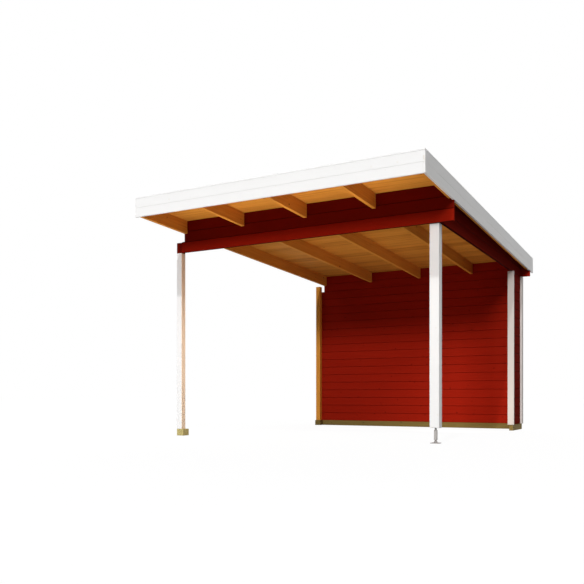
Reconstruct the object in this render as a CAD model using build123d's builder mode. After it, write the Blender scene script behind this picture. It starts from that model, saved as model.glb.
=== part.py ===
from build123d import *
from math import atan, tan
import os

# Open timber carport built as a lean-to roof: a ring beam of red planks on posts, a rear wall with a
# short return on the right, five rafters, a board deck with roofing felt and white fascia boards.
# Millimetres. +X to the right, +Y to the rear, +Z up. The origin is on the ground under the middle
# of the roof's outline.

# Planks of the walls and the ring beam
plank_thickness = 28.0
plank_cover = 119.5
wall_courses = 17
front_beam_courses = 3
log_end = 125.0

# Plan
bay_depth = 3612.0
front_beam_length = 3267.0
front_overhang = 845.0
rear_overhang = 196.0
return_length = 527.0

# Ground timbers
sill_height = 77.0
sill_width = 50.0
block_width = 90.0
block_depth = 109.0
rear_block_projection = 102.0

# Left posts
left_post_side = 70.0
rear_post_rise = 78.0

# Right post on its adjustable steel foot
corner_post_side = 95.0
corner_post_lift = 150.0
foot_plate_side = 86.0
foot_plate_thickness = 6.0
foot_hole_diameter = 9.0
foot_hole_inset = 14.0
foot_rod_diameter = 20.0
foot_rod_in_post = 60.0
foot_nut_wall = 5.0
foot_nut_height = 16.0
foot_sleeve_wall = 4.25
foot_sleeve_height = 98.0
foot_sleeve_bevel = 6.0
foot_sleeve_bevel_inset = 3.5
foot_sleeve_lift = 9.0

# Rafters
rafter_count = 5
rafter_width = 40.0
rafter_height = 145.0
rafter_inset = 111.5
beam_projection = 15.5

# Roof covering and its edge boards
deck_thickness = 18.0
felt_thickness = 3.0
fascia_thickness = 20.0
fascia_drop = 17.0
fascia_rise = 9.0
cap_thickness = 13.0
cap_width = 40.0
rear_fascia_height = 110.0

# White trim boards of the return wall
trim_thickness = 18.0
trim_width = 83.0
corner_board_thickness = 25.0
corner_board_width = 89.0
corner_board_lap = 57.0

# Rafters are spaced evenly over the length of the front beam, which runs a little past the last one
rafter_span = front_beam_length - beam_projection - rafter_inset - rafter_width
rafter_pitch = rafter_span / (rafter_count - 1)

# Outline in plan, with the origin under its middle
roof_depth = front_overhang + bay_depth + rear_overhang
roof_right = front_beam_length - beam_projection + fascia_thickness
x_left = -roof_right / 2
y_front = -roof_depth / 2 + front_overhang
y_rear = y_front + bay_depth
y_eave_front = -roof_depth / 2
y_eave_rear = roof_depth / 2
x_right = roof_right / 2

# Levels. The roof falls by one plank over the bay, so the rear beam has one course less.
z_beam = sill_height + wall_courses * plank_cover
z_soffit = z_beam + front_beam_courses * plank_cover
roof_fall = plank_cover
roof_pitch = atan(roof_fall / bay_depth)

# Faces that several pieces share
rafter_left = [x_left + rafter_inset + i * rafter_pitch for i in range(rafter_count)]
x_rafter_end = rafter_left[-1] + rafter_width
x_beam_end = x_left + front_beam_length
x_side_out = x_beam_end - log_end
x_side_in = x_side_out - plank_thickness
x_side_mid = (x_side_in + x_side_out) / 2
y_rear_out = y_rear + plank_thickness
y_rear_mid = (y_rear + y_rear_out) / 2
y_sill_front = y_rear_mid - sill_width / 2
y_sill_back = y_rear_mid + sill_width / 2
y_return = y_rear - return_length


def soffit_at(y):
    """Height of the deck's underside at a distance along Y."""
    return z_soffit - (y - y_front) * tan(roof_pitch)


def slab(x0, x1, y0, y1, z0, z1):
    """Upright box between two corners, for the sketch in progress."""
    with Locations(((x0 + x1) / 2, (y0 + y1) / 2, (z0 + z1) / 2)):
        Box(x1 - x0, y1 - y0, z1 - z0)


def sloped(x0, x1, y0, y1, low, high):
    """Bar along the fall of the roof between two heights above the deck's underside."""
    with BuildSketch(Plane.YZ.offset(x0)) as profile:
        with BuildLine():
            Polyline(
                (y0, soffit_at(y0) + low),
                (y1, soffit_at(y1) + low),
                (y1, soffit_at(y1) + high),
                (y0, soffit_at(y0) + high),
                close=True,
            )
        make_face()
    extrude(profile.sketch, amount=x1 - x0)


# Fascia heights, measured from the deck's underside. Two equal boards cover rafter, deck and felt.
fascia_low = -rafter_height - fascia_drop
fascia_high = deck_thickness + felt_thickness + fascia_rise
fascia_board_height = (fascia_high - fascia_low) / 2
fascia_mid = fascia_low + fascia_board_height

# Cutters: the rafters' slots in the planks that cross them
with BuildPart() as rafter_slots:
    for x in rafter_left:
        sloped(x, x + rafter_width, y_eave_front, y_eave_rear, -rafter_height, rafter_height)

# Cutters: all that is above the deck's underside, and the room of the right fascia
with BuildPart() as above_deck:
    sloped(x_left - log_end, x_right + log_end, y_eave_front, y_eave_rear, 0, rafter_height)

with BuildPart() as fascia_room:
    sloped(x_rafter_end, x_right + log_end, y_eave_front, y_eave_rear, fascia_low, rafter_height)

parts = []

# Block of treated timber under the front left post
with BuildPart() as front_left_block:
    slab(x_left, x_left + block_width, y_front, y_front + block_depth, 0, sill_height)
front_left_block.part.label = "front_left_block"
parts.append(front_left_block)

# Front left post, painted white towards the front
with BuildPart() as front_left_post:
    slab(x_left, x_left + left_post_side, y_front, y_front + left_post_side, sill_height, z_beam)
front_left_post.part.label = "front_left_post"
parts.append(front_left_post)

# Red head of the post, as high as the lowest beam plank that butts against it
with BuildPart() as front_left_post_head:
    slab(x_left, x_left + left_post_side, y_front, y_front + left_post_side,
         z_beam, z_beam + plank_cover)
front_left_post_head.part.label = "front_left_post_head"
parts.append(front_left_post_head)

# Block of treated timber under the rear left post
with BuildPart() as rear_left_block:
    slab(x_left, x_left + block_width, y_rear - rear_block_projection, y_sill_back, 0, sill_height)
rear_left_block.part.label = "rear_left_block"
parts.append(rear_left_block)

# Rear left post of bare timber, in front of the rear wall's end
with BuildPart() as rear_left_post:
    slab(x_left, x_left + left_post_side, y_rear - left_post_side, y_rear,
         sill_height, z_beam + rear_post_rise)
rear_left_post.part.label = "rear_left_post"
parts.append(rear_left_post)

# Right post in the inner corner of the ring beam, cut to the slope of the deck
x_post_mid = x_side_in - corner_post_side / 2
y_post_front = y_front + plank_thickness
y_post_mid = y_post_front + corner_post_side / 2
with BuildPart() as front_right_post:
    slab(x_side_in - corner_post_side, x_side_in, y_post_front, y_post_front + corner_post_side,
         corner_post_lift, z_soffit + plank_cover)
    add(above_deck.part, mode=Mode.SUBTRACT)
    with Locations((x_post_mid, y_post_mid, corner_post_lift)):
        Cylinder(foot_rod_diameter / 2, foot_rod_in_post, mode=Mode.SUBTRACT,
                 align=(Align.CENTER, Align.CENTER, Align.MIN))
front_right_post.part.label = "front_right_post"
parts.append(front_right_post)

# Foot plate with four fixing holes
hole_pitch = foot_plate_side - 2 * foot_hole_inset
with BuildPart() as post_foot_plate:
    with Locations((x_post_mid, y_post_mid, 0)):
        Box(foot_plate_side, foot_plate_side, foot_plate_thickness,
            align=(Align.CENTER, Align.CENTER, Align.MIN))
        with GridLocations(hole_pitch, hole_pitch, 2, 2):
            Cylinder(foot_hole_diameter / 2, foot_plate_thickness, mode=Mode.SUBTRACT,
                     align=(Align.CENTER, Align.CENTER, Align.MIN))
post_foot_plate.part.label = "post_foot_plate"
parts.append(post_foot_plate)

# Threaded rod from the foot plate up into the post
with BuildPart() as post_foot_rod:
    with Locations((x_post_mid, y_post_mid, foot_plate_thickness)):
        Cylinder(foot_rod_diameter / 2, corner_post_lift + foot_rod_in_post - foot_plate_thickness,
                 align=(Align.CENTER, Align.CENTER, Align.MIN))
post_foot_rod.part.label = "post_foot_rod"
parts.append(post_foot_rod)

# Hexagon nut that locks the rod on the plate
with BuildPart() as post_foot_nut:
    with BuildSketch(Plane.XY.offset(foot_plate_thickness)):
        with Locations((x_post_mid, y_post_mid)):
            RegularPolygon(foot_rod_diameter / 2 + foot_nut_wall, 6, major_radius=False)
            Circle(foot_rod_diameter / 2, mode=Mode.SUBTRACT)
    extrude(amount=foot_nut_height)
post_foot_nut.part.label = "post_foot_nut"
parts.append(post_foot_nut)

# Square sleeve nut that sets the height, bevelled at both ends
z_sleeve = foot_plate_thickness + foot_nut_height + foot_sleeve_lift
foot_sleeve_side = foot_rod_diameter + 2 * foot_sleeve_wall
with BuildPart() as post_foot_sleeve:
    with BuildSketch(Plane.XY.offset(z_sleeve)):
        with Locations((x_post_mid, y_post_mid)):
            Rectangle(foot_sleeve_side, foot_sleeve_side)
            Circle(foot_rod_diameter / 2, mode=Mode.SUBTRACT)
    extrude(amount=foot_sleeve_height)
    ends = post_foot_sleeve.faces().filter_by(Axis.Z)
    for end in ends:
        chamfer(end.outer_wire().edges(), foot_sleeve_bevel_inset, foot_sleeve_bevel, reference=end)
post_foot_sleeve.part.label = "post_foot_sleeve"
parts.append(post_foot_sleeve)

# Treated sill under the rear wall, from the left block to the corner
x_sill_right = x_side_mid + sill_width / 2
with BuildPart() as rear_sill:
    slab(x_left + block_width, x_sill_right, y_sill_front, y_sill_back, 0, sill_height)
rear_sill.part.label = "rear_sill"
parts.append(rear_sill)

# Treated sill under the return wall
with BuildPart() as return_sill:
    slab(x_side_mid - sill_width / 2, x_sill_right, y_return, y_sill_front, 0, sill_height)
return_sill.part.label = "return_sill"
parts.append(return_sill)

# Rear wall, nailed to the back of the left post and closed by the return wall
with BuildPart() as rear_wall:
    slab(x_left, x_side_out, y_rear, y_rear_out, sill_height, z_beam)
rear_wall.part.label = "rear_wall"
parts.append(rear_wall)

# Short return wall at the right rear corner
with BuildPart() as return_wall:
    slab(x_side_in, x_side_out, y_return, y_rear, sill_height, z_beam)
return_wall.part.label = "return_wall"
parts.append(return_wall)

# White board over the front end of the return wall
with BuildPart() as return_front_trim:
    slab(x_side_mid - trim_width / 2, x_side_mid + trim_width / 2,
         y_return - trim_thickness, y_return, sill_height, z_beam)
return_front_trim.part.label = "return_front_trim"
parts.append(return_front_trim)

# White corner board on the outer face of the return wall
y_corner_back = y_rear_out - corner_board_lap + corner_board_width
with BuildPart() as corner_board_side:
    slab(x_side_out, x_side_out + corner_board_thickness, y_rear_out - corner_board_lap,
         y_corner_back, sill_height, z_beam)
corner_board_side.part.label = "corner_board_side"
parts.append(corner_board_side)

# White corner board on the rear face
with BuildPart() as corner_board_rear:
    slab(x_side_out - corner_board_width, x_side_out, y_rear_out,
         y_rear_out + corner_board_thickness, sill_height, z_beam)
corner_board_rear.part.label = "corner_board_rear"
parts.append(corner_board_rear)

# Front beam: lowest plank, from the post head to the free end
with BuildPart() as front_beam_lower:
    slab(x_left + left_post_side, x_beam_end, y_front, y_front + plank_thickness,
         z_beam, z_beam + plank_cover)
front_beam_lower.part.label = "front_beam_lower"
parts.append(front_beam_lower)

# Front beam: middle plank, notched for the rafters and under the right fascia
with BuildPart() as front_beam_middle:
    slab(rafter_left[0], x_beam_end, y_front, y_front + plank_thickness,
         z_beam + plank_cover, z_beam + 2 * plank_cover)
    add(rafter_slots.part, mode=Mode.SUBTRACT)
    add(fascia_room.part, mode=Mode.SUBTRACT)
front_beam_middle.part.label = "front_beam_middle"
parts.append(front_beam_middle)

# Front beam: top plank in lengths between the rafters, cut to the slope
with BuildPart() as front_beam_upper:
    slab(rafter_left[0], x_rafter_end, y_front, y_front + plank_thickness,
         z_beam + 2 * plank_cover, z_soffit)
    add(rafter_slots.part, mode=Mode.SUBTRACT)
    add(above_deck.part, mode=Mode.SUBTRACT)
front_beam_upper.part.label = "front_beam_upper"
parts.append(front_beam_upper)

# Right side beam: two full planks between the front beam and the rear wall
with BuildPart() as side_beam_lower:
    slab(x_side_in, x_side_out, y_front + plank_thickness, y_rear, z_beam, z_beam + plank_cover)
side_beam_lower.part.label = "side_beam_lower"
parts.append(side_beam_lower)

with BuildPart() as side_beam_middle:
    slab(x_side_in, x_side_out, y_front + plank_thickness, y_rear,
         z_beam + plank_cover, z_beam + 2 * plank_cover)
side_beam_middle.part.label = "side_beam_middle"
parts.append(side_beam_middle)

# Right side beam: top plank, tapered to the roof
with BuildPart() as side_beam_upper:
    slab(x_side_in, x_side_out, y_front + plank_thickness, y_rear,
         z_beam + 2 * plank_cover, z_soffit)
    add(above_deck.part, mode=Mode.SUBTRACT)
side_beam_upper.part.label = "side_beam_upper"
parts.append(side_beam_upper)

# Rear beam: lower plank, notched for the rafters and under the right fascia
with BuildPart() as rear_beam_lower:
    slab(rafter_left[0], x_beam_end, y_rear, y_rear_out, z_beam, z_beam + plank_cover)
    add(rafter_slots.part, mode=Mode.SUBTRACT)
    add(fascia_room.part, mode=Mode.SUBTRACT)
rear_beam_lower.part.label = "rear_beam_lower"
parts.append(rear_beam_lower)

# Rear beam: upper plank in lengths between the rafters, cut to the slope
with BuildPart() as rear_beam_upper:
    slab(rafter_left[0], x_rafter_end, y_rear, y_rear_out,
         z_beam + plank_cover, z_beam + 2 * plank_cover)
    add(rafter_slots.part, mode=Mode.SUBTRACT)
    add(above_deck.part, mode=Mode.SUBTRACT)
rear_beam_upper.part.label = "rear_beam_upper"
parts.append(rear_beam_upper)

# Rafters, from the front fascia to the rear one
for i, x in enumerate(rafter_left):
    with BuildPart() as rafter:
        sloped(x, x + rafter_width, y_eave_front + fascia_thickness, y_eave_rear - fascia_thickness,
               -rafter_height, 0)
    rafter.part.label = f"rafter_{i + 1}"
    parts.append(rafter)

# Board deck across the rafters
with BuildPart() as roof_deck:
    sloped(rafter_left[0], x_rafter_end, y_eave_front + fascia_thickness,
           y_eave_rear - fascia_thickness, 0, deck_thickness)
roof_deck.part.label = "roof_deck"
parts.append(roof_deck)

# Roofing felt on the deck
with BuildPart() as roof_felt:
    sloped(rafter_left[0], x_rafter_end, y_eave_front + fascia_thickness,
           y_eave_rear - fascia_thickness, deck_thickness, deck_thickness + felt_thickness)
roof_felt.part.label = "roof_felt"
parts.append(roof_felt)

# Front fascia: two white boards, one above the other, level along the front
z_front_low = soffit_at(y_eave_front + fascia_thickness) + fascia_low
z_front_mid = z_front_low + fascia_board_height
z_front_high = z_front_mid + fascia_board_height
with BuildPart() as fascia_front_lower:
    slab(rafter_left[0], x_rafter_end, y_eave_front, y_eave_front + fascia_thickness,
         z_front_low, z_front_mid)
fascia_front_lower.part.label = "fascia_front_lower"
parts.append(fascia_front_lower)

with BuildPart() as fascia_front_upper:
    slab(rafter_left[0], x_rafter_end, y_eave_front, y_eave_front + fascia_thickness,
         z_front_mid, z_front_high)
fascia_front_upper.part.label = "fascia_front_upper"
parts.append(fascia_front_upper)

# Right fascia: two white boards that follow the fall of the roof
with BuildPart() as fascia_right_lower:
    sloped(x_rafter_end, x_right, y_eave_front, y_eave_rear, fascia_low, fascia_mid)
fascia_right_lower.part.label = "fascia_right_lower"
parts.append(fascia_right_lower)

with BuildPart() as fascia_right_upper:
    sloped(x_rafter_end, x_right, y_eave_front, y_eave_rear, fascia_mid, fascia_high)
fascia_right_upper.part.label = "fascia_right_upper"
parts.append(fascia_right_upper)

# Rear fascia: one board below the felt, where the water runs off
z_rear_top = soffit_at(y_eave_rear) + deck_thickness
with BuildPart() as fascia_rear:
    slab(rafter_left[0], x_rafter_end, y_eave_rear - fascia_thickness, y_eave_rear,
         z_rear_top - rear_fascia_height, z_rear_top)
fascia_rear.part.label = "fascia_rear"
parts.append(fascia_rear)

# White caps on the fascias
with BuildPart() as cap_front:
    slab(rafter_left[0], x_right - cap_width, y_eave_front, y_eave_front + cap_width,
         z_front_high, z_front_high + cap_thickness)
cap_front.part.label = "cap_front"
parts.append(cap_front)

with BuildPart() as cap_right:
    sloped(x_right - cap_width, x_right, y_eave_front, y_eave_rear,
           fascia_high, fascia_high + cap_thickness)
cap_right.part.label = "cap_right"
parts.append(cap_right)

os.makedirs("parts", exist_ok=True)
for piece in parts:
    export_step(piece.part, f"parts/{piece.part.label}.step")
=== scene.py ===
import math
import bpy
import numpy as np
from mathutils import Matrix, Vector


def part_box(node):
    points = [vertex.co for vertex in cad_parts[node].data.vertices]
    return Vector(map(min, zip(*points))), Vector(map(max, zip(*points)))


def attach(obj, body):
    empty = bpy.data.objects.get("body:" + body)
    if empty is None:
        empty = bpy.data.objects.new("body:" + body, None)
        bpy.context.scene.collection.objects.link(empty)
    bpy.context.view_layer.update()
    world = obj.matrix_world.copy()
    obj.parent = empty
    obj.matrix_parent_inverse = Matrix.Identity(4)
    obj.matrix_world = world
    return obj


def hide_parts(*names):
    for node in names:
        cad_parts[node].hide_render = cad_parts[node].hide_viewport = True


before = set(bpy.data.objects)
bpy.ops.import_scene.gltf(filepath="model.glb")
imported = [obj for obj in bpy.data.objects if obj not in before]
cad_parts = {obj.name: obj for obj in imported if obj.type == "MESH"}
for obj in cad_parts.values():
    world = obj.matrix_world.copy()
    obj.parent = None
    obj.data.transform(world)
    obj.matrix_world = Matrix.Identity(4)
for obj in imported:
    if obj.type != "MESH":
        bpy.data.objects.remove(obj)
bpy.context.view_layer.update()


# Ground timbers. Two blocks and two sills of pressure-treated spruce lie on the ground under the left
# posts and the walls. They are sawn square, and the plane has only taken the sharp corners off.
sawn_ease = 0.0025
corner_steps = 3
smallest_face = 1e-8
trunk_length = 40
pith_sway = 0.03
pith_distance = 0.09
pith_spread = (0.4, 1.4)
ring_width = 0.004
ring_sway = 0.02
late_power = 2.5
knot_radius = 0.011
knot_cell = (3.6, 11.0, 0.001)
grain_relief = 0.0006
# The front block's colour is far paler than the other treated timber: painted sunlight on the front block.
treated_sunlit = (0.68, 0.59, 0.26, 1)
treated_light = (0.215, 0.150, 0.042, 1)
treated_dark = (0.122, 0.080, 0.018, 1)
treated_knot = (0.06, 0.042, 0.015, 1)
timber_yard = np.random.default_rng(41)


def eased_rectangle(width, height, ease):
    """Outline of a planed timber about its middle, as rows of (across, up, edge).
    Each corner is a quarter circle: its centre plus ease times the cosine and the sine of an angle.
    Edge is the sine of twice that angle, so it is 1 on the middle of a corner and 0 on the flats."""
    turn = np.linspace(0, np.pi / 2, corner_steps)
    angle = np.arange(4)[:, None] * np.pi / 2 + turn[None, :]
    side = np.array([(1, 1), (-1, 1), (-1, -1), (1, -1)])[:, None, :]
    middle = side * (np.array([width, height]) / 2 - ease)
    corner = middle + ease * np.stack([np.cos(angle), np.sin(angle)], 2)
    edge = np.broadcast_to(np.sin(2 * turn), angle.shape)
    return np.concatenate([corner, edge[..., None]], 2).reshape(-1, 3)


def carry(outline, along, inset):
    """Rings of a bar. Ring i is the outline drawn in by inset[i] on every side, at distance along[i].
    Gives (along, across, up) for every ring and outline point."""
    half = np.abs(outline[:, :2]).max(0)
    section = outline[None, :, :2] * (1 - inset[:, None, None] / half)
    station = np.broadcast_to(along[:, None, None], section.shape[:2] + (1,))
    return np.concatenate([station, section], 2)


def skin(count, width):
    """Faces over count rings of width points: a quad between neighbours, and a flat face at each end."""
    ring, step = np.meshgrid(np.arange(count - 1), np.arange(width), indexing="ij")
    onward = (step + 1) % width
    quads = np.stack([ring * width + step, ring * width + onward,
                      (ring + 1) * width + onward, (ring + 1) * width + step], 2).reshape(-1, 4)
    return quads, [np.arange(width)[::-1], np.arange(width) + (count - 1) * width]


def grain_in_trunk(rings, upright):
    """Where each point lay in the trunk, as (along, across the wide face, through the thickness). The
    pith runs at a random distance from the bar's middle, on one side of the wide face or the other."""
    wide_then_thin = [0, 2, 1] if upright else [0, 1, 2]
    pith = [timber_yard.uniform(0, trunk_length), timber_yard.uniform(-pith_sway, pith_sway),
            pith_distance * timber_yard.uniform(*pith_spread) * timber_yard.choice([-1, 1])]
    return (rings[..., wide_then_thin] + np.array(pith)).reshape(-1, 3)


def bar(low, high, run, ease, outline=None, stops=()):
    """A timber between two corners, with its grain along axis run (0, 1 or 2 for X, Y or Z).
    Its outline is carried along that axis, and the ends are rounded over as the corners are. stops are
    more distances along it where a ring is wanted."""
    low, high = np.array(low, float), np.array(high, float)
    across, up = [axis for axis in range(3) if axis != run]
    size, middle = high - low, (low + high) / 2
    if outline is None:
        outline = eased_rectangle(size[across], size[up], ease)
    bend = np.linspace(0, np.pi / 2, corner_steps)
    if ease == 0:
        bend = bend[-1:]
    start, inset = ease * (1 - np.cos(bend)), ease * (1 - np.sin(bend))
    inner = np.array(sorted(stops), float)
    along = np.concatenate([start, inner, size[run] - start[::-1]])
    inset = np.concatenate([inset, np.zeros(len(inner)), inset[::-1]])
    rings = carry(outline, along, inset)
    points = np.empty_like(rings)
    points[..., run] = low[run] + rings[..., 0]
    points[..., across] = middle[across] + rings[..., 1]
    points[..., up] = middle[up] + rings[..., 2]
    quads, ends = skin(*rings.shape[:2])
    if run == 1:
        quads, ends = quads[:, ::-1], [end[::-1] for end in ends]
    edge = np.where(inset[:, None] > 0, 1.0, outline[None, :, 2])
    edge[[0, -1]] = np.maximum(edge[[0, -1]], 0)
    return {
        "points": points,
        "quads": quads,
        "ends": ends,
        "grain": grain_in_trunk(rings, upright=size[across] < size[up]),
        "edge": edge.ravel(),
        "board": np.full(edge.size, timber_yard.uniform(0, 1)),
        "finish": np.zeros(len(quads) + 2, int),
    }


def whole_faces(part):
    """Which faces of a bar still have an area after a cut: its quads, then its ends. Twice the area is
    the length of the cross product of a quad's diagonals. On an end it is the length of the sum of the
    cross products of neighbouring corners."""
    spot = part["points"].reshape(-1, 3)
    corner = spot[part["quads"]]
    area = np.linalg.norm(np.cross(corner[:, 2] - corner[:, 0], corner[:, 3] - corner[:, 1]), axis=1)
    ends = [spot[end] - spot[end[0]] for end in part["ends"]]
    end_area = [np.linalg.norm(np.cross(end, np.roll(end, -1, 0)).sum(0)) for end in ends]
    return np.concatenate([area, end_area]) > smallest_face


def make_piece(name, bars, materials, slot, *nodes):
    """One object from a list of bars, with the given materials. It rides on the root body and stands for
    the CAD nodes; the slot is not used. Faces that a cut has closed up to nothing are left out."""
    points, faces, finish, first = [], [], [], 0
    for part in bars:
        kept = whole_faces(part)
        outlines = list(part["quads"]) + list(part["ends"])
        faces += [(outline + first).tolist() for outline, whole in zip(outlines, kept) if whole]
        finish.append(part["finish"][kept])
        points.append(part["points"].reshape(-1, 3))
        first += len(points[-1])
    mesh = bpy.data.meshes.new(name)
    mesh.from_pydata(np.concatenate(points), [], faces)
    for key, kind, field in (("grain", "FLOAT_VECTOR", "vector"), ("edge", "FLOAT", "value"),
                             ("board", "FLOAT", "value")):
        values = np.concatenate([part[key] for part in bars]).astype(np.float32)
        mesh.attributes.new(key, kind, "POINT").data.foreach_set(field, values.ravel())
    mesh.polygons.foreach_set("material_index", np.concatenate(finish).astype(np.int32))
    for material in materials:
        mesh.materials.append(material)
    mesh.update()
    piece = bpy.data.objects.new(name, mesh)
    bpy.context.scene.collection.objects.link(piece)
    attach(piece, "root")
    if nodes:
        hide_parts(*nodes)
    return piece


def put(tree, kind, inputs=None, **settings):
    """Adds a node to a tree. inputs maps a socket's name or number to a fixed value or to the output of
    another node, which is then linked."""
    item = tree.nodes.new(kind)
    for key, value in settings.items():
        setattr(item, key, value)
    for key, value in (inputs or {}).items():
        if isinstance(value, bpy.types.NodeSocket):
            tree.links.new(value, item.inputs[key])
        else:
            item.inputs[key].default_value = value
    return item


def reckon(tree, operation, *values):
    """Output of a Math node that works on one to three values."""
    return put(tree, "ShaderNodeMath", dict(enumerate(values)), operation=operation).outputs[0]


def reckon_vector(tree, operation, *values):
    """Output of a Vector Math node that works on one to three vectors."""
    return put(tree, "ShaderNodeVectorMath", dict(enumerate(values)), operation=operation).outputs[0]


def length_of(tree, vector):
    """Length of a vector."""
    return put(tree, "ShaderNodeVectorMath", {0: vector}, operation="LENGTH").outputs[1]


def blend(tree, share, a, b):
    """Colour that goes from a to b as share goes from 0 to 1."""
    return put(tree, "ShaderNodeMix", {0: share, 6: a, 7: b}, data_type="RGBA").outputs[2]


def scaled(tree, value, by, plus):
    """value times by, plus another value."""
    return reckon(tree, "MULTIPLY_ADD", value, by, plus)


def swing(tree, value, by, plus):
    """The same for a value between 0 and 1, counted from its middle, one half."""
    return scaled(tree, reckon(tree, "SUBTRACT", value, 0.5), by, plus)


def smooth_step(tree, value, low, high):
    """0 below low, 1 above high, and an S curve between them. low may be above high."""
    return put(tree, "ShaderNodeMapRange", {0: value, 1: low, 2: high, 3: 0.0, 4: 1.0},
               interpolation_type="SMOOTHSTEP").outputs[0]


def board_noise(tree, grain, along, across, detail):
    """Noise on the grain coordinates, with about so many waves to the metre along the board and across
    it. Output 0 is its value, output 1 its colour."""
    place = reckon_vector(tree, "MULTIPLY", grain, (along, across, across))
    return put(tree, "ShaderNodeTexNoise", {"Vector": place, "Scale": 1.0, "Detail": detail}).outputs


def new_group(name, inputs, outputs):
    """A shader node group with named sockets. inputs maps a name to its socket kind and first value."""
    tree = bpy.data.node_groups.new(name, "ShaderNodeTree")
    for key, (kind, value) in inputs.items():
        socket = tree.interface.new_socket(name=key, in_out="INPUT", socket_type=kind)
        socket.default_value = value
    for key in outputs:
        tree.interface.new_socket(name=key, in_out="OUTPUT", socket_type="NodeSocketFloat")
    return tree, tree.nodes.new("NodeGroupInput").outputs, tree.nodes.new("NodeGroupOutput").inputs


def solid_wood():
    """Softwood that runs through the board, worked out from the grain coordinates.
    Growth rings are the fraction of the distance to the pith over the ring width, bent by slow noise:
    pale, then darker to the end of each year. Fibre is noise drawn out along the board. A knot is round
    about a point of a cell pattern, in those cells whose random value is below the knot share."""
    tree, given, out = new_group(
        "solid_wood",
        {"Grain": ("NodeSocketVector", (0, 0, 0)), "Ring Width": ("NodeSocketFloat", ring_width),
         "Knot Share": ("NodeSocketFloat", 0.3), "Knot Radius": ("NodeSocketFloat", knot_radius)},
        ["Late Wood", "Fibre", "Streak", "Knot", "Height"])
    grain = given["Grain"]
    sway = board_noise(tree, grain, along=1.1, across=9.0, detail=2.0)[1]
    sway = reckon_vector(tree, "SUBTRACT", sway, (0.5, 0.5, 0.5))
    bent = reckon_vector(tree, "MULTIPLY_ADD", sway, (0, ring_sway, ring_sway), grain)
    section = reckon_vector(tree, "MULTIPLY", bent, (0, 1, 1))
    year = reckon(tree, "FRACT", reckon(tree, "DIVIDE", length_of(tree, section), given["Ring Width"]))
    late = reckon(tree, "MULTIPLY", reckon(tree, "POWER", year, late_power),
                  smooth_step(tree, year, low=1.0, high=0.9))
    fibre = board_noise(tree, grain, along=7.0, across=620.0, detail=3.0)[0]
    streak = board_noise(tree, grain, along=1.6, across=55.0, detail=3.0)[0]
    spread = reckon_vector(tree, "MULTIPLY", grain, knot_cell)
    cells = put(tree, "ShaderNodeTexVoronoi", {"Vector": spread, "Scale": 1.0, "Randomness": 0.9}).outputs
    offset = reckon_vector(tree, "SUBTRACT", spread, cells["Position"])
    offset = reckon_vector(tree, "MULTIPLY", offset, (1 / knot_cell[0], 1 / knot_cell[1], 0))
    chance = put(tree, "ShaderNodeSeparateColor", {0: cells["Color"]}).outputs
    present = reckon(tree, "LESS_THAN", chance[0], given["Knot Share"])
    radius = reckon(tree, "MULTIPLY", given["Knot Radius"], scaled(tree, chance[1], by=0.8, plus=0.5))
    spot = smooth_step(tree, reckon(tree, "DIVIDE", length_of(tree, offset), radius), low=1.15, high=0.75)
    knot = reckon(tree, "MULTIPLY", present, spot)
    relief = scaled(tree, fibre, by=0.6, plus=reckon(tree, "MULTIPLY", late, 0.4))
    relief = scaled(tree, knot, by=0.5, plus=relief)
    for key, value in (("Late Wood", late), ("Fibre", fibre), ("Streak", streak), ("Knot", knot),
                       ("Height", relief)):
        tree.links.new(value, out[key])
    return tree


wood_group = solid_wood()


def new_material(name):
    """An empty material with a Principled shader on its surface."""
    material = bpy.data.materials.new(name)
    material.use_nodes = True
    tree = material.node_tree
    tree.nodes.clear()
    shader = tree.nodes.new("ShaderNodeBsdfPrincipled")
    put(tree, "ShaderNodeOutputMaterial", {"Surface": shader.outputs[0]})
    return material, tree, shader


def carried(tree, key, socket="Fac"):
    """What a board's mesh carries under that key: its grain coordinates, its edge or its own number."""
    return put(tree, "ShaderNodeAttribute", attribute_name=key).outputs[socket]


def add_relief(tree, shader, height, depth, strength):
    """Bumps on the shader's normal. depth is how far, in metres, a height of 1 stands out."""
    bump = put(tree, "ShaderNodeBump", {"Height": height, "Distance": depth, "Strength": strength})
    tree.links.new(bump.outputs[0], shader.inputs["Normal"])


def bare_wood(name, pale, late, knot_colour, tone_spread, specular, knot_share=0.3, contrast=1.1):
    """Unpainted softwood. Late wood and streaks go from the pale colour to the late one, knots are darker
    still, and every board is a little lighter or darker than the next by its own number."""
    material, tree, shader = new_material(name)
    grain = carried(tree, "grain", "Vector")
    wood = put(tree, "ShaderNodeGroup", {"Grain": grain, "Knot Share": knot_share},
               node_tree=wood_group).outputs
    depth = swing(tree, wood["Streak"], by=contrast, plus=0.2)
    depth = scaled(tree, wood["Late Wood"], by=0.35, plus=depth)
    depth = swing(tree, carried(tree, "board"), by=tone_spread, plus=depth)
    depth = put(tree, "ShaderNodeClamp", {0: depth}).outputs[0]
    colour = blend(tree, depth, pale, late)
    colour = blend(tree, reckon(tree, "MULTIPLY", wood["Knot"], 0.85), colour, knot_colour)
    tree.links.new(colour, shader.inputs["Base Color"])
    tree.links.new(scaled(tree, wood["Fibre"], by=0.2, plus=0.55), shader.inputs["Roughness"])
    shader.inputs["Specular IOR Level"].default_value = specular
    add_relief(tree, shader, wood["Height"], grain_relief, strength=0.6)
    return material


treated_timber = bare_wood("treated_timber", treated_light, treated_dark, treated_knot,
                           tone_spread=0.3, specular=0.1)
# The front block's pale copy of the treated timber is painted sunlight.
sunlit_timber = bare_wood("sunlit_treated_timber", treated_sunlit, treated_light, treated_knot,
                         tone_spread=0.3, specular=0.1)


def whole_timber(name, node, run, ease, finish, slot):
    """A single squared timber that takes the place of one CAD node."""
    return make_piece(name, [bar(*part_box(node), run, ease)], [finish], slot, node)


for node, run, finish in (("front_left_block", 1, sunlit_timber), ("rear_left_block", 1, treated_timber),
                          ("rear_sill", 0, treated_timber), ("return_sill", 1, treated_timber)):
    whole_timber(node + "_timber", node, run, sawn_ease, finish, "treated_timber")


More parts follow.
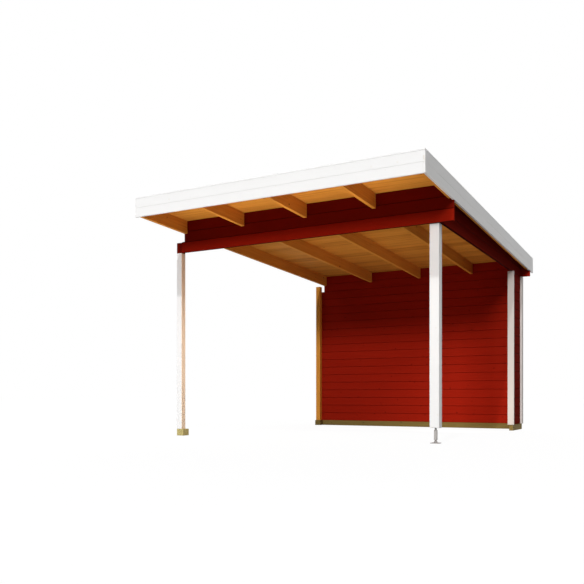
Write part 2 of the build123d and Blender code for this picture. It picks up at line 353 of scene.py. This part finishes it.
# Left posts. Both are planed spruce, 70 mm square, on the treated blocks. The front one is painted white
# on its two outer faces, the rear one is bare, and the front one carries a short red head.
post_ease = 0.003
coat_relief = 0.0004
white_coat = (0.87, 0.868, 0.864, 1)
white_deep = (0.81, 0.79, 0.75, 1)
white_knot = (0.70, 0.62, 0.47, 1)
white_worn = (0.66, 0.58, 0.46, 1)
# The red stain comes in three copies that differ only in tone. This darkest one is painted shade, for the
# beams, the side beam, the return wall's outer face and the post head.
shaded_red_coat = (0.148, 0.0058, 0.0017, 1)
shaded_red_deep = (0.103, 0.0032, 0.0010, 1)
red_knot = (0.08, 0.003, 0.001, 1)
red_worn = (0.24, 0.022, 0.009, 1)
spruce_pale = (0.79, 0.335, 0.052, 1)
spruce_late = (0.56, 0.19, 0.020, 1)
spruce_knot = (0.15, 0.035, 0.006, 1)
# The front left post's bare faces are pale wood, made paler still as painted light on its inner faces.
washed_and_lit_pale = (0.95, 0.78, 0.61, 1)
washed_and_lit_late = (0.88, 0.66, 0.47, 1)
washed_knot = (0.42, 0.22, 0.11, 1)


def brushed_coat():
    """Paint or stain laid on with a brush. Strokes are noise drawn out along the board, clouds are slow
    noise in space. Tone is their mix about 1, worn is the share of an edge where the coat has thinned."""
    tree, given, out = new_group(
        "brushed_coat",
        {"Grain": ("NodeSocketVector", (0, 0, 0)), "Edge": ("NodeSocketFloat", 0.0),
         "Stroke Depth": ("NodeSocketFloat", 0.04), "Cloud Depth": ("NodeSocketFloat", 0.05),
         "Wear": ("NodeSocketFloat", 0.4)},
        ["Tone", "Worn", "Height"])
    stroke = board_noise(tree, given["Grain"], along=3.0, across=210.0, detail=2.0)[0]
    cloud = board_noise(tree, given["Grain"], along=2.2, across=7.0, detail=3.0)[0]
    tone = swing(tree, stroke, by=given["Stroke Depth"], plus=1.0)
    tone = swing(tree, cloud, by=given["Cloud Depth"], plus=tone)
    rub = board_noise(tree, given["Grain"], along=14.0, across=30.0, detail=4.0)[0]
    rub = smooth_step(tree, reckon(tree, "MULTIPLY", given["Edge"], rub), low=0.46, high=0.66)
    tree.links.new(tone, out["Tone"])
    tree.links.new(reckon(tree, "MULTIPLY", rub, given["Wear"]), out["Worn"])
    tree.links.new(stroke, out["Height"])
    return tree


coat_group = brushed_coat()


def coated_wood(name, coat, deep, knot_colour, worn_colour, show_through, stroke_depth, roughness, specular,
                joint_shade):
    """Softwood under a coat of paint or stain. The wood below shows through a little: the coat goes to
    the deep colour on late wood and streaks, and to the knot colour over knots. In the joint of two
    planks it goes to that share of the deep colour which joint_shade gives."""
    material, tree, shader = new_material(name)
    grain, edge = carried(tree, "grain", "Vector"), carried(tree, "edge")
    wood = put(tree, "ShaderNodeGroup", {"Grain": grain, "Knot Share": 0.22}, node_tree=wood_group).outputs
    brush = put(tree, "ShaderNodeGroup", {"Grain": grain, "Edge": edge, "Stroke Depth": stroke_depth,
                                          "Cloud Depth": stroke_depth}, node_tree=coat_group).outputs
    depth = scaled(tree, wood["Late Wood"], by=0.4, plus=wood["Streak"])
    depth = swing(tree, carried(tree, "board"), by=0.35, plus=depth)
    depth = reckon(tree, "MULTIPLY", reckon(tree, "SUBTRACT", depth, 0.3), show_through)
    depth = put(tree, "ShaderNodeClamp", {0: depth}).outputs[0]
    colour = blend(tree, depth, coat, deep)
    colour = blend(tree, reckon(tree, "MULTIPLY", wood["Knot"], show_through), colour, knot_colour)
    colour = blend(tree, brush["Worn"], colour, worn_colour)
    joint_colour = tuple(joint_shade * part for part in deep)
    colour = blend(tree, smooth_step(tree, edge, low=0.0, high=-1.0), colour, joint_colour)
    toned = put(tree, "ShaderNodeVectorMath", {0: colour, "Scale": brush["Tone"]}, operation="SCALE")
    tree.links.new(toned.outputs[0], shader.inputs["Base Color"])
    tree.links.new(scaled(tree, brush["Height"], by=0.2, plus=roughness), shader.inputs["Roughness"])
    shader.inputs["Specular IOR Level"].default_value = specular
    height = scaled(tree, wood["Height"], by=0.5, plus=brush["Height"])
    add_relief(tree, shader, height, coat_relief, strength=0.5)
    return material


def painted_white(name, coat, deep):
    """White paint with a slight sheen, under which the wood hardly shows."""
    return coated_wood(name, coat, deep, white_knot, white_worn, show_through=0.12, stroke_depth=0.02,
                       roughness=0.4, specular=0.12, joint_shade=0.2)


def stained_red(name, coat, deep, joint_shade=0.2):
    """Red stain, thin and matt, that lets the wood show through."""
    return coated_wood(name, coat, deep, red_knot, red_worn, show_through=0.45, stroke_depth=0.06,
                       roughness=0.65, specular=0.008, joint_shade=joint_shade)


white_paint = painted_white("white_paint", white_coat, white_deep)
# The darkest copy of the red stain: its tone is painted shade.
red_stain = stained_red("red_stain", shaded_red_coat, shaded_red_deep)
bare_spruce = bare_wood("bare_spruce", spruce_pale, spruce_late, spruce_knot,
                        tone_spread=0.35, specular=0.05, knot_share=0.12, contrast=1.4)
# The pale wood of the front left post's bare faces, lightened further as painted light.
washed_and_lit_spruce = bare_wood("washed_and_lit_spruce", washed_and_lit_pale, washed_and_lit_late, washed_knot,
                          tone_spread=0.2, specular=0.1)

# The faces that look to the right and to the rear stay bare, and so do both ends.
post_low, post_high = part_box("front_left_post")
half_painted = bar(post_low, post_high, 2, post_ease)
outward = half_painted["points"].reshape(-1, 3)[half_painted["quads"]].mean(1)
inner_face = (outward[:, 0] > post_high.x - post_ease) | (outward[:, 1] > post_high.y - post_ease)
half_painted["finish"][:-2] = inner_face
half_painted["finish"][-2:] = 1
make_piece("front_left_post_timber", [half_painted], [white_paint, washed_and_lit_spruce], "white_paint",
           "front_left_post")
whole_timber("front_left_post_head_timber", "front_left_post_head", 2, post_ease, red_stain, "red_stain")
whole_timber("rear_left_post_timber", "rear_left_post", 2, post_ease, bare_spruce, "bare_timber")


# Right post. A 95 mm post, painted white all round, stands in the inner corner of the ring beam. Its top
# is cut to the slope of the deck, and its foot is drilled for the threaded rod.
corner_post_ease = 0.005
beam_courses = 3
beam_low, beam_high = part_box("front_beam_lower")
plank_cover = beam_high.z - beam_low.z
y_beam = beam_low.y
z_ring = beam_low.z
y_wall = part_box("rear_wall")[0].y
roof_slope = plank_cover / (y_wall - y_beam)
z_soffit = z_ring + beam_courses * plank_cover


def soffit_at(y):
    """Height of the deck's underside: a plane that falls by one plank over the bay."""
    return z_soffit - roof_slope * (y - y_beam)


def cut_to_roof(part):
    """Takes off all of a bar that stands above the deck's underside."""
    points = part["points"]
    points[..., 2] = np.minimum(points[..., 2], soffit_at(points[..., 1]))
    return part


corner_post = cut_to_roof(bar(*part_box("front_right_post"), 2, corner_post_ease))
make_piece("front_right_post_timber", [corner_post], [white_paint], "white_paint", "front_right_post")


# Steel foot of the right post. A plate is bolted to the ground, a nut locks the M20 rod on it, and a
# square sleeve nut on the rod sets the height. All of it is zinc-plated steel.
plate_ease = 0.0008
nut_bevel = 0.0025
nut_sides = 48
sleeve_bevel = 0.003
sleeve_corner_share = 1.38
sleeve_sides = 64
mouth_inset = 0.001
rod_sides = 24
rod_pitch = 0.0025
rings_per_pitch = 6
thread_depth = 0.0011
spangle_scale = 260.0
zinc_cloud_scale = 60.0
zinc_relief = 0.0003
zinc_bright = (0.42, 0.40, 0.385, 1)
zinc_dull = (0.24, 0.225, 0.215, 1)


def turned(radius, height, centre, sides, flats=0, across_flats=0):
    """A turned part on an upright axis. Point (i, k) stands at radius i and height i of the profile, at
    the angle of side k. With flats, the radius is held in to a polygon of that many flat sides: it is at
    most half of across_flats over the cosine of the angle from the middle of the nearest flat."""
    angle = (np.arange(sides) + 0.5) * 2 * np.pi / sides
    reach = np.broadcast_to(radius[:, None], (len(radius), sides))
    if flats:
        away = (angle + np.pi / flats) % (2 * np.pi / flats) - np.pi / flats
        reach = np.minimum(reach, across_flats / 2 / np.cos(away)[None, :])
    return np.stack([centre[0] + reach * np.cos(angle), centre[1] + reach * np.sin(angle),
                     np.broadcast_to(height[:, None], reach.shape)], 2)


def shell(points):
    """The bar that a grid of points makes whose second direction goes round."""
    quads, ends = skin(*points.shape[:2])
    flat = points.reshape(-1, 3)
    return {
        "points": points,
        "quads": quads,
        "ends": ends,
        "grain": flat,
        "edge": np.zeros(len(flat)),
        "board": np.full(len(flat), 0.5),
        "finish": np.zeros(len(quads) + len(ends), int),
    }


def steel_block(low, high, mouth, corner, bevel, sides, flats, across_flats):
    """A block with flats about the rod. Its ends are turned down to the radius mouth, and the bevels run
    from there to the radius corner."""
    radius = np.array([mouth, corner, corner, mouth])
    height = np.array([low.z, low.z + bevel, high.z - bevel, high.z])
    return shell(turned(radius, height, foot_centre, sides, flats, across_flats))


def place_noise(tree, place, scale):
    """Slow cloudy noise in space, scale waves to the metre."""
    return put(tree, "ShaderNodeTexNoise", {"Vector": place, "Scale": scale, "Detail": 4.0}).outputs[0]


def zinc_plate():
    """Zinc on steel: a grey metal with crystal patches a few millimetres wide, duller in the hollows."""
    material, tree, shader = new_material("zinc_steel")
    place = put(tree, "ShaderNodeTexCoord").outputs["Object"]
    spangle = put(tree, "ShaderNodeTexVoronoi", {"Vector": place, "Scale": spangle_scale}).outputs["Color"]
    flake = put(tree, "ShaderNodeSeparateColor", {0: spangle}).outputs[0]
    cloud = place_noise(tree, place, zinc_cloud_scale)
    share = scaled(tree, cloud, by=0.8, plus=reckon(tree, "MULTIPLY", flake, 0.3))
    tree.links.new(blend(tree, share, zinc_bright, zinc_dull), shader.inputs["Base Color"])
    tree.links.new(scaled(tree, share, by=0.3, plus=0.3), shader.inputs["Roughness"])
    shader.inputs["Metallic"].default_value = 1.0
    add_relief(tree, shader, cloud, zinc_relief, strength=0.4)
    return material


zinc_steel = zinc_plate()
plate_low, plate_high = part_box("post_foot_plate")
foot_centre = (plate_low + plate_high) / 2
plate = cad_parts["post_foot_plate"]
plate.material_slots[0].material = zinc_steel
rounded = plate.modifiers.new("rounded edges", "BEVEL")
rounded.width = plate_ease
rounded.segments = 2

nut_low, nut_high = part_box("post_foot_nut")
nut_flats = min(nut_high.x - nut_low.x, nut_high.y - nut_low.y)
nut = steel_block(nut_low, nut_high, mouth=nut_flats / 2, corner=nut_flats / math.sqrt(3),
                  bevel=nut_bevel, sides=nut_sides, flats=6, across_flats=nut_flats)
make_piece("post_foot_nut_steel", [nut], [zinc_steel], "zinc_steel", "post_foot_nut")

sleeve_low, sleeve_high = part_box("post_foot_sleeve")
sleeve_side = sleeve_high.x - sleeve_low.x
sleeve = steel_block(sleeve_low, sleeve_high, mouth=sleeve_side / 2 - mouth_inset,
                     corner=sleeve_side / 2 * sleeve_corner_share, bevel=sleeve_bevel, sides=sleeve_sides,
                     flats=4, across_flats=sleeve_side)
make_piece("post_foot_sleeve_steel", [sleeve], [zinc_steel], "zinc_steel", "post_foot_sleeve")

# The thread is a triangle wave of the height over the pitch less the turn, so that it winds upwards.
rod_low, rod_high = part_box("post_foot_rod")
rod_radius = (rod_high.x - rod_low.x) / 2
rod_rise = np.arange(rod_low.z, rod_high.z, rod_pitch / rings_per_pitch)
rod_turn = (np.arange(rod_sides) + 0.5) / rod_sides
flank = (rod_rise[:, None] / rod_pitch - rod_turn[None, :]) % 1
rod_reach = rod_radius - thread_depth * np.abs(2 * flank - 1)
rod_points = np.stack([foot_centre.x + rod_reach * np.cos(2 * np.pi * rod_turn),
                       foot_centre.y + rod_reach * np.sin(2 * np.pi * rod_turn),
                       np.broadcast_to(rod_rise[:, None], rod_reach.shape)], 2)
make_piece("post_foot_rod_thread", [shell(rod_points)], [zinc_steel], "zinc_steel", "post_foot_rod")


# Walls. Planks of 28 mm spruce, stained red, are stacked on edge: each has a tongue on its top edge and
# a groove below, and both faces are bevelled at the joints, which leaves a V between two planks.
joint_bevel = 0.004
joint_gap = 0.0008
tongue_rise = 0.008
tongue_half = 0.0045
tongue_taper = 0.0008
# The rear wall's copy of the red stain is the lightest: its tone is painted light, for the light that
# reaches the wall's inner face under the beam.
lit_wall_coat = (0.315, 0.0130, 0.0046, 1)
lit_wall_deep = (0.224, 0.0074, 0.0027, 1)


def plank_outline(thickness, cover, tongue=True, groove=True):
    """Section of a wall plank about its middle, as rows of (across, up, edge): up the right side, over
    the tongue, down the left side and under the groove. Tongue and groove are left out at cut edges.
    Edge is -1 in the joint, where the coat is darkened, and 0 on the faces."""
    side, half, bevel = thickness / 2, (cover - joint_gap) / 2, joint_bevel
    over = [(tongue_half, half), (tongue_half - tongue_taper, half + tongue_rise)]
    under = [(-tongue_half, -half), (-tongue_half, -half + tongue_rise)]
    rows = [(side, bevel - half, 0), (side, half - bevel, 0), (side - bevel, half, -1)]
    if tongue:
        rows += [(x, z, -1) for x, z in over] + [(-x, z, -1) for x, z in reversed(over)]
    rows += [(bevel - side, half, -1), (-side, half - bevel, 0), (-side, bevel - half, 0),
             (bevel - side, -half, -1)]
    if groove:
        rows += [(x, z, -1) for x, z in under] + [(-x, z, -1) for x, z in reversed(under)]
    rows += [(side - bevel, -half, -1)]
    return np.array(rows, float)


def plank(low, high, run, tongue=True, groove=True, stops=()):
    """One plank between two corners of its bevelled body, along X (run 0) or Y (run 1). A ring close to
    each end keeps the dark of the joint off the end's face."""
    size = [high[axis] - low[axis] for axis in range(3)]
    outline = plank_outline(size[1 - run], size[2], tongue, groove)
    return bar(low, high, run, 0, outline, [joint_bevel, size[run] - joint_bevel] + list(stops))


def plank_wall(name, node, run, finish):
    """Planks stacked from the sill up, one for each cover in the height of the CAD wall."""
    low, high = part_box(node)
    courses = round((high.z - low.z) / plank_cover)
    planks = []
    for course in range(courses):
        z = low.z + course * plank_cover
        planks.append(plank((low.x, low.y, z), (high.x, high.y, z + plank_cover), run,
                            tongue=course < courses - 1, groove=course > 0))
    return make_piece(name, planks, [finish], "red_stain", node)


# The lightest copy of the red stain, painted light, on the rear wall and the rear beam.
lit_wall_stain = stained_red("lit_wall_stain", lit_wall_coat, lit_wall_deep, joint_shade=0.65)
plank_wall("rear_wall_planks", "rear_wall", 0, lit_wall_stain)
plank_wall("return_wall_planks", "return_wall", 1, red_stain)


# White boards of the return wall. One covers the front end of the planks, two make the outer corner.
# They are planed spruce, painted white and screwed to the planks.
trim_ease = 0.003
head_rows = 5
head_columns = np.array([-0.022, 0.022])
head_sides = 12
end_margin = 0.06
# The trims' paint is darker and warmer than the other white: painted shade, with painted warm light thrown
# back from the red wall.
shaded_trim_coat = (0.575, 0.530, 0.497, 1)
shaded_trim_deep = (0.535, 0.485, 0.442, 1)


def screw_heads(name, spots, face, finish):
    """Countersunk screw heads under the paint: a turned disc of 8 mm with a socket in its middle, at each
    spot. face is the axis that they look along and its sign. The disc is turned about that axis: a head's
    points are the spot plus radius times cosine and sine across the axis, and height along it."""
    axis, sign = face
    radius = np.array([0.0042, 0.0042, 0.0036, 0.0015, 0.0011])
    height = np.array([-0.0004, 0.0003, 0.0006, 0.0006, -0.0006])
    head = turned(radius, height, (0, 0), head_sides)
    across, up, out = head[..., 0], head[..., 1], head[..., 2]
    if axis == 0:
        local = np.stack([sign * out, sign * across, up], 2)
    else:
        local = np.stack([-sign * across, sign * out, up], 2)
    return make_piece(name, [shell(local + np.array(spot)) for spot in spots], [finish], "white_paint")


def head_grid(xs, ys, zs):
    """Every spot that the three lists of distances make together."""
    return np.stack(np.meshgrid(xs, ys, zs, indexing="ij"), 3).reshape(-1, 3)


def face_place(low, high, face):
    """Where a board's face lies along its axis: at the high corner if it looks that way, or else low."""
    axis, sign = face
    return high[axis] if sign > 0 else low[axis]


# This darker, warmer white is painted shade and painted warm bounce, on the trims and their screw heads.
shaded_trim_paint = painted_white("shaded_trim_paint", shaded_trim_coat, shaded_trim_deep)
for node, face in (("return_front_trim", (1, -1)), ("corner_board_side", (0, 1)),
                   ("corner_board_rear", (1, 1))):
    whole_timber(node + "_board", node, 2, trim_ease, shaded_trim_paint, "white_paint")
    low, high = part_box(node)
    middle = (low + high) / 2
    rows = np.linspace(low.z + end_margin, high.z - end_margin, head_rows)
    if face[0] == 0:
        spots = head_grid([face_place(low, high, face)], middle.y + head_columns, rows)
    else:
        spots = head_grid(middle.x + head_columns, [face_place(low, high, face)], rows)
    screw_heads(node + "_screws", spots, face, shaded_trim_paint)


# Ring beam. The wall's planks go on as a beam round the roof: three on the front and the right, two at
# the rear. They are notched for the rafters. The top one on the right is sawn to the slope of the deck
# and lies on the one below without a tongue.
rafter_count = 5
rafter_boxes = [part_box(f"rafter_{number + 1}") for number in range(rafter_count)]
rafter_section = 0.145
notch_slack = 0.0002
no_cut = -1.0
side_stations = 26
side_fascia_low, side_fascia_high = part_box("fascia_right_lower")
side_fascia_reach = soffit_at(side_fascia_high.y) - side_fascia_low.z
# The lowest front plank has a middle copy of the red stain: its lighter tone is painted light, for the low
# light that reaches it under the eave.
lit_beam_coat = (0.235, 0.0090, 0.0026, 1)
lit_beam_deep = (0.168, 0.0050, 0.0015, 1)


def cross_plank(node):
    """A plank along X that the rafters cross. Between the sides of a notch its rings are cut down to the
    rafter's underside, and just outside them it is whole again. Past the last rafter it is cut down to
    the underside of the right fascia."""
    low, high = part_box(node)
    sides = [x for left, right in rafter_boxes
             for x in (left.x - notch_slack, left.x, right.x, right.x + notch_slack)]
    part = plank(low, high, 0, stops=[x - low.x for x in sides if low.x < x < high.x])
    points = part["points"]
    x = points[:, 0, 0]
    cut = np.where(x > side_fascia_low.x + notch_slack / 2, side_fascia_reach, no_cut)
    for left, right in rafter_boxes:
        cut[(x > left.x - notch_slack / 2) & (x < right.x + notch_slack / 2)] = rafter_section
    points[..., 2] = np.minimum(points[..., 2], soffit_at(points[..., 1]) - cut[:, None])
    return part


def inner_stops(length, count):
    """count distances, evenly spaced from end to end, without the two ends themselves."""
    return np.linspace(0, length, count)[1:-1]


def infill(name, node, z_base, finish):
    """The top plank of a beam, in lengths that fit between the rafters."""
    low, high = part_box(node)
    lengths = []
    for (_, left), (right, _) in zip(rafter_boxes[:-1], rafter_boxes[1:]):
        lengths.append(cut_to_roof(plank((left.x, low.y, z_base), (right.x, high.y, z_base + plank_cover),
                                         0, tongue=False)))
    return make_piece(name, lengths, [finish], "red_stain", node)


# The middle copy of the red stain, painted light, on the lowest front plank only.
lit_beam_stain = stained_red("lit_beam_stain", lit_beam_coat, lit_beam_deep)
make_piece("front_beam_lower_plank", [plank(beam_low, beam_high, 0, groove=False)], [lit_beam_stain],
           "red_stain", "front_beam_lower")
make_piece("front_beam_middle_plank", [cross_plank("front_beam_middle")], [red_stain],
           "red_stain", "front_beam_middle")
make_piece("rear_beam_lower_plank", [cross_plank("rear_beam_lower")], [lit_wall_stain],
           "red_stain", "rear_beam_lower")
infill("front_beam_upper_planks", "front_beam_upper", z_ring + 2 * plank_cover, red_stain)
infill("rear_beam_upper_planks", "rear_beam_upper", z_ring + plank_cover, lit_wall_stain)

for course, node in enumerate(("side_beam_lower", "side_beam_middle", "side_beam_upper")):
    low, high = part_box(node)
    z = z_ring + course * plank_cover
    side_plank = plank((low.x, low.y, z), (high.x, high.y, z + plank_cover), 1, tongue=course == 0,
                       groove=course == 1, stops=inner_stops(high.y - low.y, side_stations))
    make_piece(node + "_plank", [cut_to_roof(side_plank)], [red_stain], "red_stain", node)


# Rafters. Five bare spruce rafters, 40 by 145 mm, run from the front fascia to the rear one with the fall
# of the roof. They are planed, and their ends are cut plumb.
rafter_ease = 0.003


def with_the_fall(part):
    """Shears a level bar so that it follows the fall of the roof, its ends staying plumb."""
    points = part["points"]
    points[..., 2] -= roof_slope * (points[..., 1] - y_beam)
    return part


for number, (low, high) in enumerate(rafter_boxes):
    level = bar((low.x, low.y, z_soffit - rafter_section), (high.x, high.y, z_soffit), 1, rafter_ease)
    make_piece(f"rafter_{number + 1}_timber", [with_the_fall(level)], [bare_spruce], "bare_timber",
               f"rafter_{number + 1}")


# Roof deck. Tongued boards, 18 mm thick, are nailed across the rafters, their good face down. The lower
# edges are bevelled, so that a fine line shows between two boards from below.
deck_cover = 0.096
deck_bevel = 0.0015
deck_gap = 0.0004
deck_thickness = 0.018
deck_late = (0.44, 0.14, 0.015, 1)


def deck_outline(width, thickness):
    """Section of a deck board about its middle: square above, bevelled at both lower edges."""
    side, half = width / 2, thickness / 2
    rows = [(side, deck_bevel - half), (side, half), (-side, half), (-side, deck_bevel - half),
            (deck_bevel - side, -half), (side - deck_bevel, -half)]
    return np.array([row + (0,) for row in rows], float)


deck_low, deck_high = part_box("roof_deck")
deck_count = math.ceil((deck_high.y - deck_low.y) / deck_cover)
deck_edges = np.linspace(deck_low.y, deck_high.y, deck_count + 1)
deck_boards = []
for y_low, y_high in zip(deck_edges[:-1], deck_edges[1:]):
    outline = deck_outline(y_high - y_low - deck_gap, deck_thickness)
    level = bar((deck_low.x, y_low, z_soffit), (deck_high.x, y_high, z_soffit + deck_thickness), 0, 0,
                outline)
    deck_boards.append(with_the_fall(level))
deck_spruce = bare_wood("deck_spruce", spruce_pale, deck_late, spruce_knot,
                        tone_spread=0.5, specular=0.05, knot_share=0.12, contrast=2.0)
make_piece("roof_deck_boards", deck_boards, [deck_spruce], "bare_timber", "roof_deck")


# Roofing felt. Sheets of black bitumen felt with a mineral face lie along the roof, from the rear up,
# each lapped over the one below it.
felt_width = 1.0
felt_lap = 0.08
felt_climb = 0.03
felt_thickness = 0.003
felt_ease = 0.0005
felt_stations = 60
grit_scale = 420.0
grit_relief = 0.001
felt_cloud_scale = 3.0
felt_black = (0.025, 0.026, 0.028, 1)
felt_grit = (0.10, 0.10, 0.105, 1)


def felt_material():
    """Bitumen felt: dark grey grit on black, coarse to the touch."""
    material, tree, shader = new_material("roofing_felt")
    place = put(tree, "ShaderNodeTexCoord").outputs["Object"]
    grit = put(tree, "ShaderNodeTexVoronoi", {"Vector": place, "Scale": grit_scale}).outputs
    tint = put(tree, "ShaderNodeSeparateColor", {0: grit["Color"]}).outputs[0]
    cloud = place_noise(tree, place, felt_cloud_scale)
    share = scaled(tree, cloud, by=0.5, plus=reckon(tree, "MULTIPLY", tint, 0.5))
    tree.links.new(blend(tree, share, felt_black, felt_grit), shader.inputs["Base Color"])
    shader.inputs["Roughness"].default_value = 0.9
    add_relief(tree, shader, grit["Distance"], grit_relief, strength=0.5)
    return material


roofing_felt = felt_material()
felt_low, felt_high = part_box("roof_felt")
felt_starts = np.arange(felt_high.y - felt_width, felt_low.y, felt_lap - felt_width)
felt_sheets = []
for y_low in [felt_low.y] + list(felt_starts):
    # The sheet ends one lap past the start of the next one to the rear, and climbs over that start.
    next_start = felt_starts[felt_starts > y_low].min(initial=felt_high.y + felt_lap)
    y_high = min(y_low + felt_width, felt_high.y, next_start + felt_lap)
    sheet = bar((felt_low.x, y_low, z_soffit + deck_thickness),
                (felt_high.x, y_high, z_soffit + deck_thickness + felt_thickness), 1, felt_ease,
                stops=inner_stops(y_high - y_low, felt_stations))
    climb = np.clip((sheet["points"][..., 1] - next_start + felt_climb) / felt_climb, 0, 1)
    sheet["points"][..., 2] += felt_thickness * climb
    felt_sheets.append(with_the_fall(sheet))
make_piece("roof_felt_sheets", felt_sheets, [roofing_felt], "roofing_felt", "roof_felt")


# Fascia and caps. Two white boards, 20 by 96 mm, one above the other, hide the rafter ends on the front
# and close the roof on the right, and a flat cap covers the felt's edge. One board closes the rear. The
# boards are a little narrower than their pitch, so that a fine dark joint shows between them.
fascia_ease = 0.0015
fascia_joint = 0.0009
fascia_board = 0.096
cap_thickness = 0.013
side_heads = 9

rafter_middles = [(low.x + high.x) / 2 for low, high in rafter_boxes]
for node, face in (("fascia_front_lower", (1, -1)), ("fascia_front_upper", (1, -1)),
                   ("fascia_rear", (1, 1))):
    low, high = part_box(node)
    board = bar(low, (high.x, high.y, high.z - fascia_joint), 0, fascia_ease)
    make_piece(node + "_board", [board], [white_paint], "white_paint", node)
    spots = head_grid(rafter_middles, [face_place(low, high, face)], (low.z + high.z) / 2 + head_columns)
    screw_heads(node + "_screws", spots, face, white_paint)
whole_timber("cap_front_board", "cap_front", 0, fascia_ease, white_paint, "white_paint")

for node, thickness in (("fascia_right_lower", fascia_board), ("fascia_right_upper", fascia_board),
                        ("cap_right", cap_thickness)):
    low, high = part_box(node)
    top = high.z + roof_slope * (low.y - y_beam)
    joint = fascia_joint if thickness == fascia_board else 0
    level = bar((low.x, low.y, top - thickness), (high.x, high.y, top - joint), 1, fascia_ease)
    make_piece(node + "_board", [with_the_fall(level)], [white_paint], "white_paint", node)
    if thickness == fascia_board:
        spots = head_grid([high.x], np.linspace(low.y + end_margin, high.y - end_margin, side_heads),
                          top - thickness / 2 + head_columns)
        spots[:, 2] -= roof_slope * (spots[:, 1] - y_beam)
        screw_heads(node + "_screws", spots, (0, 1), white_paint)


# Studio. A pale floor and a white surround. A sun stands before the front, with soft lamps beside it that
# reach in under the beam, and two more light the rear. Warm panels stand in for light that comes back from
# the ground and from the bare timber.
floor_half = 60.0
floor_drop = 0.001
floor_tone = (0.33, 0.33, 0.33, 1)
floor_plain = 0.82
floor_glow = 1.165
ambient = 0.036
plain_white = (1, 1, 1, 1)
bounce_tint = (1.0, 0.86, 0.70)

# Each sun has its azimuth, its height and its width across, in degrees, and its strength.
suns = {
    "studio_sun": (10, 40, 1.6, 1.01),
    "soft_front_low": (8, 11, 8, 1.30),
    "soft_right_low": (15, 20, 16, 0.18),
    "soft_right_high": (45, 35, 20, 0.88),
    "soft_left": (-40, 35, 20, 0.20),
    "soft_rear": (200, 35, 40, 1.40),
    "soft_rear_left": (-110, 30, 40, 0.50),
}

# Each panel has its place and its size in metres, its tilt and turn and its spread in degrees, and watts.
panels = {
    "panel_under_eave": ((0, -1.95, 0.03), (3.0, 0.6), (180, 0), 40, 5.4),
    "panel_in_front": ((0, -3.5, 0.03), (5.0, 1.5), (180, 0), 180, 7.5),
    "panel_in_bay": ((-0.2, 0.0, 0.03), (2.4, 1.6), (180, 0), 70, 2.8),
    "panel_at_wall": ((0.82, 0.9, 0.04), (0.7, 0.4), (115, 0), 180, 9.8),
    "panel_at_left_post": ((0.2, -1.43, 0.9), (0.2, 1.4), (90, 90), 70, 2.0),
}


def seen_directly(tree):
    """1 for rays from the camera and for those that metal or glass sends on, 0 for light on the object."""
    seen = put(tree, "ShaderNodeLightPath").outputs
    direct = reckon(tree, "MAXIMUM", seen["Is Camera Ray"], seen["Is Glossy Ray"])
    return reckon(tree, "MAXIMUM", direct, seen["Is Transmission Ray"])


def floor_material():
    """Matt floor. For the camera, and in metal and glass, it is mostly a plain white, with part of the
    real shading left, so that a soft shadow stays under the carport."""
    material, tree, shader = new_material("studio_floor")
    shader.inputs["Base Color"].default_value = floor_tone
    shader.inputs["Roughness"].default_value = 1.0
    shader.inputs["Specular IOR Level"].default_value = 0.0
    share = reckon(tree, "MULTIPLY", seen_directly(tree), floor_plain)
    white = put(tree, "ShaderNodeEmission", {"Color": plain_white, "Strength": floor_glow}).outputs[0]
    mixed = put(tree, "ShaderNodeMixShader", {0: share, 1: shader.outputs[0], 2: white}).outputs[0]
    output = next(node for node in tree.nodes if node.type == "OUTPUT_MATERIAL")
    tree.links.new(mixed, output.inputs["Surface"])
    return material


corners = np.array([(-1, -1), (1, -1), (1, 1), (-1, 1)]) * floor_half
floor_mesh = bpy.data.meshes.new("studio_floor")
floor_mesh.from_pydata(np.column_stack([corners, np.full(4, -floor_drop)]), [], [(0, 1, 2, 3)])
floor_mesh.materials.append(floor_material())
floor = bpy.data.objects.new("studio_floor", floor_mesh)
bpy.context.scene.collection.objects.link(floor)

world = bpy.data.worlds.new("studio_surround")
bpy.context.scene.world = world
world.use_nodes = True
surround = world.node_tree
surround.nodes.clear()
strength = scaled(surround, seen_directly(surround), by=1.0 - ambient, plus=ambient)
glow = put(surround, "ShaderNodeBackground", {"Color": plain_white, "Strength": strength}).outputs[0]
put(surround, "ShaderNodeOutputWorld", {"Surface": glow})


def put_up_lamp(name, kind, strength, tilt, turn):
    """A lamp on a stand. It looks down, is tilted up by tilt and then turned about Z, in degrees."""
    lamp = bpy.data.lights.new(name, kind)
    lamp.energy = strength
    stand = bpy.data.objects.new(name, lamp)
    stand.rotation_euler = (math.radians(tilt), 0, math.radians(turn))
    bpy.context.scene.collection.objects.link(stand)
    return lamp, stand


for name, (azimuth, height, width, strength) in suns.items():
    lamp, stand = put_up_lamp(name, "SUN", strength, 90 - height, azimuth)
    lamp.angle = math.radians(width)

for name, (place, size, (tilt, turn), spread, strength) in panels.items():
    lamp, stand = put_up_lamp(name, "AREA", strength, tilt, turn)
    lamp.shape = "RECTANGLE"
    lamp.size, lamp.size_y = size
    lamp.spread = math.radians(spread)
    lamp.color = bounce_tint
    stand.location = place
    stand.visible_camera = False


# Camera. It stands low at the front right with its optical axis level, and the frame is shifted up, so
# that upright edges stay upright.
camera_place = (3.6059, -8.1956, 0.4543)
camera_turn = 28.966
lens_length = 44.742
sensor_width = 36.0
frame_shift = 0.1785

camera_data = bpy.data.cameras.new("studio_camera")
camera_data.sensor_width = sensor_width
camera_data.lens = lens_length
camera_data.shift_y = frame_shift
camera = bpy.data.objects.new("studio_camera", camera_data)
camera.location = camera_place
camera.rotation_euler = (math.pi / 2, 0, math.radians(camera_turn))
bpy.context.scene.collection.objects.link(camera)
bpy.context.scene.camera = camera
bpy.context.scene.view_settings.view_transform = "Standard"
